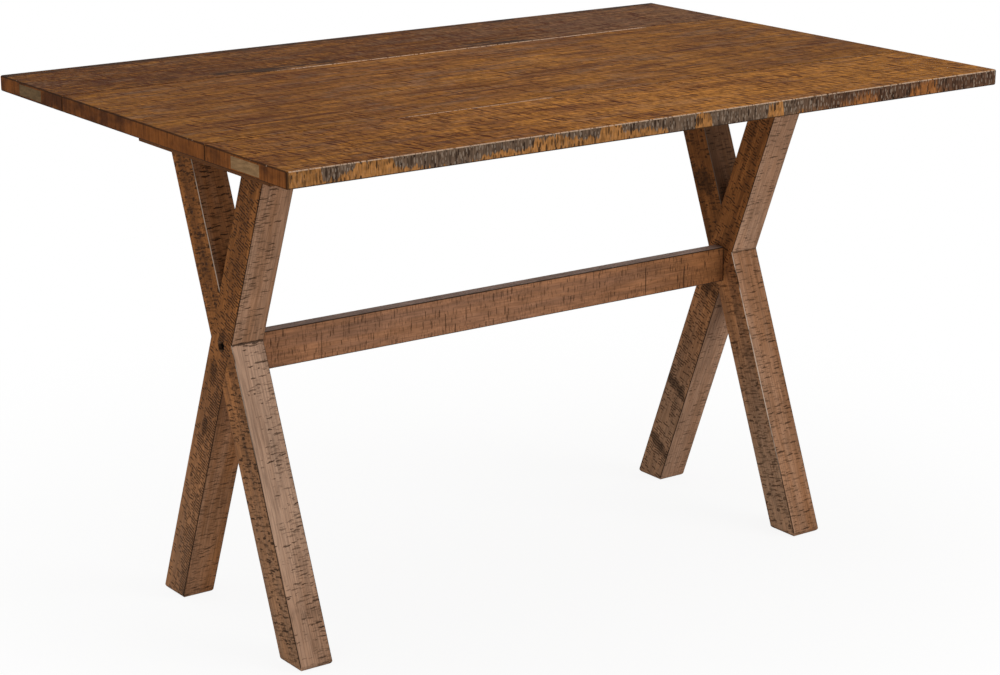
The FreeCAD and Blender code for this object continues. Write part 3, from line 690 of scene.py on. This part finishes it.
    # Smudges and stains under the marks.
    smudge = wood.smooth(wood.noise((0.030, 0.018, 0.018), 3.0, 0.6, offset=37.0), 0.64, 0.80)
    smudge = wood.times(smudge, 0.40)
    if knots:
        smudge = wood.either(smudge, wood.times(knots, 0.60))
    smudge = wood.both(smudge, on_side)
    for rise, strength in look.get("stains", ()):
        stain = wood.smooth(wood.gap(up, rise), 0.014, 0.002)
        stain = wood.both(stain, wood.smooth(crowd, 0.38, 0.60), wood.off(on_side))
        smudge = wood.either(smudge, wood.times(stain, strength))
    colour = wood.mix(smudge, base, settings.soot)
    colour = wood.cover(colour, settings.bark, marks, look["depth"])

    # Line of the halving on the front and back faces.
    lap = wood.noise((0.012, 0.006, 0.006), 3.0, 0.6, offset=41.0)
    lap = wood.times(lap, 0.006, wood.minus(wood.dot(wood.spot, (0, 0, 1)), CROSSING_Z + 0.003))
    lap = wood.both(wood.smooth(wood.math("ABSOLUTE", lap), 0.0024, 0.0010), wood.off(on_side))
    colour = wood.cover(colour, settings.soot, lap, look["lap"])

    # Arrises: dark, and pale at the near corner as worn wood and a painted highlight.
    arris = wood.arris()
    sole_rim = wood.smooth(wood.facing[0], -0.15, -0.40)
    colour = wood.mix(wood.both(arris, wood.split(sole_rim, (0.15, 0.82))), colour, settings.soot)
    if "pale_arris" in look:
        rub_and_highlight = wood.smooth(wood.noise((0.05, 0.05, 0.05), 3.0, 0.6, offset=59.0), 0.30, 0.46)
        corner = wood.both(wood.smooth(wood.facing[1], -0.2, -0.5), wood.smooth(wood.facing[2], -0.2, -0.5))
        rub_and_highlight = wood.both(arris, corner, rub_and_highlight, wood.split(above, look["pale_arris"]))
        rub_and_highlight = wood.both(rub_and_highlight, wood.smooth(up, look["pale_end"] - 0.06, look["pale_end"] + 0.06))
        # Painted highlight and worn wood along the near arris.
        colour = wood.mix(rub_and_highlight, colour, settings.worn_and_highlight)

    return wood.stained(colour, LEG_GLOSS, streak, grain, marks, 0.8)


def stretcher_timber(settings, name, seed):
    """Finish of the stretcher: short upright ticks on the faces, a painted contact shadow at its ends, and a
    dull, dusty top that is also lighter as painted light.
    """
    wood = Finish(name, STRETCHER_RUN, seed)
    along, upward = wood.place[:2]
    streak = wood.noise((0.30, 0.020, 0.020), 4.0, 0.6)
    grain = wood.noise((0.11, 0.0034, 0.0034), 3.0, 0.65, offset=3.0)
    fibre = wood.noise((0.030, 0.0024, 0.0024), 2.0, 0.6, offset=5.0)
    cloud = wood.noise((0.045, 0.030, 0.030), 4.0, 0.65, offset=7.0)
    warm = wood.times(along, 0.25, streak)
    face = wood.mix(wood.smooth(warm, 0.30, 0.70), settings.rail_clay, settings.rail_fawn)
    pale_middle = wood.smooth(wood.gap(along, -0.10), 0.36, 0.12)
    face = wood.cover(face, settings.rail_dust_and_top_light, pale_middle, 0.05)
    face = wood.vary(face, pale_middle, 0.12, 1.0)
    golden_end = wood.smooth(along, 0.24, 0.42)
    face = wood.cover(face, settings.umber, golden_end, 0.8)
    # The upper and lower faces take the dusty tone, which also paints light on the upper face.
    colour = wood.mix(wood.face(1), face, settings.rail_dust_and_top_light)
    colour = wood.vary(colour, grain, 0.60, 0.70)
    colour = wood.vary(colour, wood.smooth(fibre, 0.34, 0.66), 0.30, 0.85)
    colour = wood.vary(colour, cloud, 0.90, 0.55)

    crowd = wood.times(wood.noise((0.060, 0.020, 0.020), 3.0, 0.6, offset=11.0), 1.5, -0.25)
    ticks = wood.strokes(along, upward, (0.0070, 0.015), (0.0009, 0.0058), wood.plus(crowd, 0.04), 0.8,
                         wave=0.002, offset=17.0)
    fine = wood.strokes(along, upward, (0.0042, 0.011), (0.0007, 0.0045), wood.plus(crowd, 0.20), 0.9,
                        wave=0.002, offset=19.0)
    saw = wood.strokes(along, upward, (0.060, 0.060), (0.0012, 0.030), 0.44, 0.8, wave=0.003, offset=23.0)
    marks = wood.either(wood.either(ticks, saw), wood.times(fine, 0.6))
    marks = wood.both(marks, wood.face(2))
    colour = wood.cover(colour, settings.bark, marks, 0.75)
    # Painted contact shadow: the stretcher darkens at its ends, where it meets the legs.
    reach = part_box("stretcher")[1].x
    painted_contact_shadow = wood.smooth(wood.math("ABSOLUTE", along), reach - 0.004, reach - 0.001)
    colour = wood.cover(colour, settings.soot, painted_contact_shadow, 0.8)
    near_edge = wood.smooth(wood.facing[2], 0.2, -0.2)
    colour = wood.mix(wood.both(wood.arris(), wood.times(near_edge, 0.75, 0.10)), colour, settings.soot)
    return wood.stained(colour, LEG_GLOSS, streak, grain, marks, 0.8)


def leg_run(settings, foot_sign):
    """Directions of a leg whose foot stands at foot_sign times Y: up the leg, across it, along the table."""
    lean = settings.lean
    up = (0.0, -foot_sign * math.sin(lean), math.cos(lean))
    over = (0.0, math.cos(lean), foot_sign * math.sin(lean))
    return up, over, (1.0, 0.0, 0.0)


class TABLE_OT_top_boards(bpy.types.Operator):
    """Finish the centre board and the two leaves."""
    bl_idname = "table.top_boards"
    bl_label = "Top boards"

    def execute(self, context):
        settings = context.scene.table_top
        for name, look in TOP_LOOKS.items():
            dress([name], top_board(settings, name, look))
        return {"FINISHED"}


class TABLE_OT_end_plugs(bpy.types.Operator):
    """Finish the pale plugs in the leaf ends."""
    bl_idname = "table.end_plugs"
    bl_label = "End plugs"

    def execute(self, context):
        settings = context.scene.table_fittings
        for name, colour in zip(PLUGS, (settings.plug_pale, settings.plug_dull)):
            wood = Finish(name + "_wood", CROSS_RUN, 5.0)
            streak = wood.noise((0.016, 0.05, 0.005), 3.0, 0.6, slant=(0.0, 1.6))
            grain = wood.noise((0.0016, 0.02, 0.0016), 2.0, 0.6, offset=3.0)
            tint = wood.vary(colour, streak, 1.4, 0.3)
            tint = wood.vary(tint, grain, 0.30, 0.85)
            roughness = wood.times(streak, 0.2, 0.5)
            dress([name], wood.surface(tint, roughness, wood.bump(grain, 0.0002), specular=LEG_GLOSS))
        return {"FINISHED"}


class TABLE_OT_legs(bpy.types.Operator):
    """Finish the four crossed legs."""
    bl_idname = "table.legs"
    bl_label = "Legs"

    def execute(self, context):
        settings = context.scene.table_legs
        for name, look in LEG_LOOKS.items():
            dress([name], leg_timber(settings, name, look))
        return {"FINISHED"}


class TABLE_OT_stretcher(bpy.types.Operator):
    """Finish the stretcher between the trestles."""
    bl_idname = "table.stretcher"
    bl_label = "Stretcher"

    def execute(self, context):
        settings = context.scene.table_legs
        dress(["stretcher"], stretcher_timber(settings, "stretcher_wood", 160.0))
        return {"FINISHED"}


class TABLE_OT_bearers(bpy.types.Operator):
    """Finish the top rails and the lopers that slide in them."""
    bl_idname = "table.bearers"
    bl_label = "Rails and lopers"

    def execute(self, context):
        settings = context.scene.table_legs
        wood = Finish("bearer_wood", CROSS_RUN, 200.0)
        streak = wood.noise((0.22, 0.010, 0.010), 4.0, 0.6)
        grain = wood.noise((0.06, 0.0014, 0.0014), 3.0, 0.65, offset=3.0)
        colour = wood.mix(wood.smooth(streak, 0.35, 0.65), settings.umber, settings.bearer)
        colour = wood.vary(colour, grain, 0.5, 0.75)
        hair = wood.smooth(wood.noise((0.0018, 0.02, 0.02), 2.0, 0.6, offset=9.0), 0.56, 0.70)
        colour = wood.cover(colour, settings.soot, hair, 0.2)
        colour = wood.cover(colour, settings.soot, wood.arris(), 0.3)
        roughness = wood.times(streak, 0.2, 0.45)
        dress(RAILS + LOPERS, wood.surface(colour, roughness, wood.bump(grain, 0.0003), specular=LEG_GLOSS))
        return {"FINISHED"}


class TABLE_OT_fittings(bpy.types.Operator):
    """Finish the hinges, screws, bolts and dowels."""
    bl_idname = "table.fittings"
    bl_label = "Fittings"

    def execute(self, context):
        settings = context.scene.table_fittings
        for names, label, colour, roughness in (
                (BOLT_NODES, "bolt_oxide", settings.bolt_black, 0.45),
                (PLATED_NODES, "screw_plate", settings.plated, 0.34),
                (HINGE_NODES, "hinge_brass", settings.brass, 0.36)):
            metal = Finish(label, BOARD_RUN, 3.0)
            tarnish = metal.noise((0.012, 0.012, 0.012), 4.0, 0.65)
            brushed = metal.noise((0.03, 0.0006, 0.0006), 2.0, 0.6, offset=5.0)
            shade = metal.vary(colour, tarnish, 0.9, 0.5)
            rough = metal.times(tarnish, 0.3, roughness - 0.15)
            dress(names, metal.surface(shade, rough, metal.bump(brushed, 0.00005), metallic=1.0))
        wood = Finish("dowel_beech", BOARD_RUN, 5.0)
        grain = wood.noise((0.03, 0.0012, 0.0012), 3.0, 0.6)
        beech = wood.vary(settings.dowel, grain, 0.6, 0.7)
        dress(["stretcher_dowels"], wood.surface(beech, 0.6, wood.bump(grain, 0.0002)))
        return {"FINISHED"}


def white_to_camera(tree):
    """Socket that is 1 for rays from the camera, reflections and glass, and 0 for light."""
    path = add_node(tree, "ShaderNodeLightPath").outputs
    joined = path["Is Camera Ray"]
    for name in ("Is Glossy Ray", "Is Transmission Ray"):
        joined = add_node(tree, "ShaderNodeMath", {0: joined, 1: path[name]}, operation="MAXIMUM").outputs[0]
    return joined


class TABLE_OT_stage(bpy.types.Operator):
    """Lay the floor, hang the lamps and set the camera."""
    bl_idname = "table.stage"
    bl_label = "Stage"

    def execute(self, context):
        settings = context.scene.table_stage
        self.lay_floor(context, settings)
        self.fill_world(context, settings)
        self.hang_lamp(context, "front_softbox", settings.key_power, *FRONT_SOFTBOX)
        self.hang_lamp(context, "overhead_softbox", settings.top_power, *OVERHEAD_SOFTBOX)
        self.set_camera(context, settings)
        context.scene.view_settings.view_transform = "Standard"
        return {"FINISHED"}

    def lay_floor(self, context, settings):
        """White paper that shows the camera only a share of its shading, and none far from the table."""
        mesh = bpy.data.meshes.new("floor_paper")
        sides = ((-1, -1), (1, -1), (1, 1), (-1, 1))
        corners = [(x * FLOOR_HALF, y * FLOOR_HALF, -FLOOR_DROP) for x, y in sides]
        mesh.from_pydata(corners, [], [(0, 1, 2, 3)])
        floor = bpy.data.objects.new("floor_paper", mesh)
        context.scene.collection.objects.link(floor)
        material = bpy.data.materials.new("floor_paper")
        tree = empty_tree(material)
        paper = add_node(tree, "ShaderNodeBsdfDiffuse", {"Color": settings.paper})
        white = add_node(tree, "ShaderNodeEmission", {"Color": WHITE, "Strength": 1.0})
        place = add_node(tree, "ShaderNodeTexCoord").outputs["Object"]
        distance = add_node(tree, "ShaderNodeVectorMath", {0: place}, operation="LENGTH").outputs["Value"]
        limits = {"Value": distance, "From Min": settings.shadow_start, "From Max": settings.shadow_end,
                  "To Min": 1 - settings.shadow_share, "To Max": 1.0}
        fade = add_node(tree, "ShaderNodeMapRange", limits, interpolation_type="SMOOTHSTEP").outputs["Result"]
        share = add_node(tree, "ShaderNodeMath", {0: white_to_camera(tree), 1: fade}, operation="MULTIPLY")
        blend = add_node(tree, "ShaderNodeMixShader",
                         {0: share.outputs[0], 1: paper.outputs[0], 2: white.outputs[0]})
        add_node(tree, "ShaderNodeOutputMaterial", {"Surface": blend.outputs[0]})
        mesh.materials.append(material)

    def fill_world(self, context, settings):
        """Even light from all round, which the camera sees as plain white."""
        world = bpy.data.worlds.new("studio_air")
        context.scene.world = world
        tree = empty_tree(world)
        light = add_node(tree, "ShaderNodeBackground", {"Color": WHITE, "Strength": settings.ambient})
        white = add_node(tree, "ShaderNodeBackground", {"Color": WHITE, "Strength": 1.0})
        blend = add_node(tree, "ShaderNodeMixShader",
                         {0: white_to_camera(tree), 1: light.outputs[0], 2: white.outputs[0]})
        add_node(tree, "ShaderNodeOutputWorld", {"Surface": blend.outputs[0]})

    def hang_lamp(self, context, name, power, size, place, aim):
        """Square softbox that looks at its aim."""
        data = bpy.data.lights.new(name, "AREA")
        data.energy = power
        data.size = size
        lamp = bpy.data.objects.new(name, data)
        lamp.location = place
        lamp.rotation_euler = (lamp.location - Vector(aim)).to_track_quat("Z", "Y").to_euler()
        context.scene.collection.objects.link(lamp)

    def set_camera(self, context, settings):
        """Camera of the photo."""
        data = bpy.data.cameras.new("photo_camera")
        data.sensor_fit = "HORIZONTAL"
        data.sensor_width = SENSOR_WIDTH_MM
        data.lens = settings.lens_mm
        camera = bpy.data.objects.new("photo_camera", data)
        camera.location = settings.camera_place
        camera.rotation_euler = settings.camera_turn
        context.scene.collection.objects.link(camera)
        context.scene.camera = camera


class TABLE_PT_panel(bpy.types.Panel):
    """Settings and steps of the table."""
    bl_idname = "TABLE_PT_panel"
    bl_label = "Flip-top table"
    bl_space_type = "VIEW_3D"
    bl_region_type = "UI"
    bl_category = "Table"

    def draw(self, context):
        for name in GROUPS:
            box = self.layout.box()
            settings = getattr(context.scene, name)
            for setting in settings.__annotations__:
                box.prop(settings, setting)
        for step in STEPS:
            self.layout.operator(step.bl_idname)


GROUPS = {"table_top": TableTopFinish, "table_legs": TableLegFinish, "table_fittings": TableFittingFinish,
          "table_stage": TableStage}
STEPS = (TABLE_OT_top_boards, TABLE_OT_end_plugs, TABLE_OT_legs, TABLE_OT_stretcher, TABLE_OT_bearers,
         TABLE_OT_fittings, TABLE_OT_stage)


def register():
    """Register the settings, the steps and the panel."""
    for group in (*GROUPS.values(), *STEPS, TABLE_PT_panel):
        bpy.utils.register_class(group)
    for name, group in GROUPS.items():
        setattr(bpy.types.Scene, name, PointerProperty(type=group))


def unregister():
    """Take the settings, the steps and the panel away again."""
    for name in GROUPS:
        delattr(bpy.types.Scene, name)
    for group in reversed((*GROUPS.values(), *STEPS, TABLE_PT_panel)):
        bpy.utils.unregister_class(group)


def main():
    """Run every step."""
    register()
    for step in STEPS:
        area, action = step.bl_idname.split(".")
        getattr(getattr(bpy.ops, area), action)()


if __name__ == "__main__":
    main()
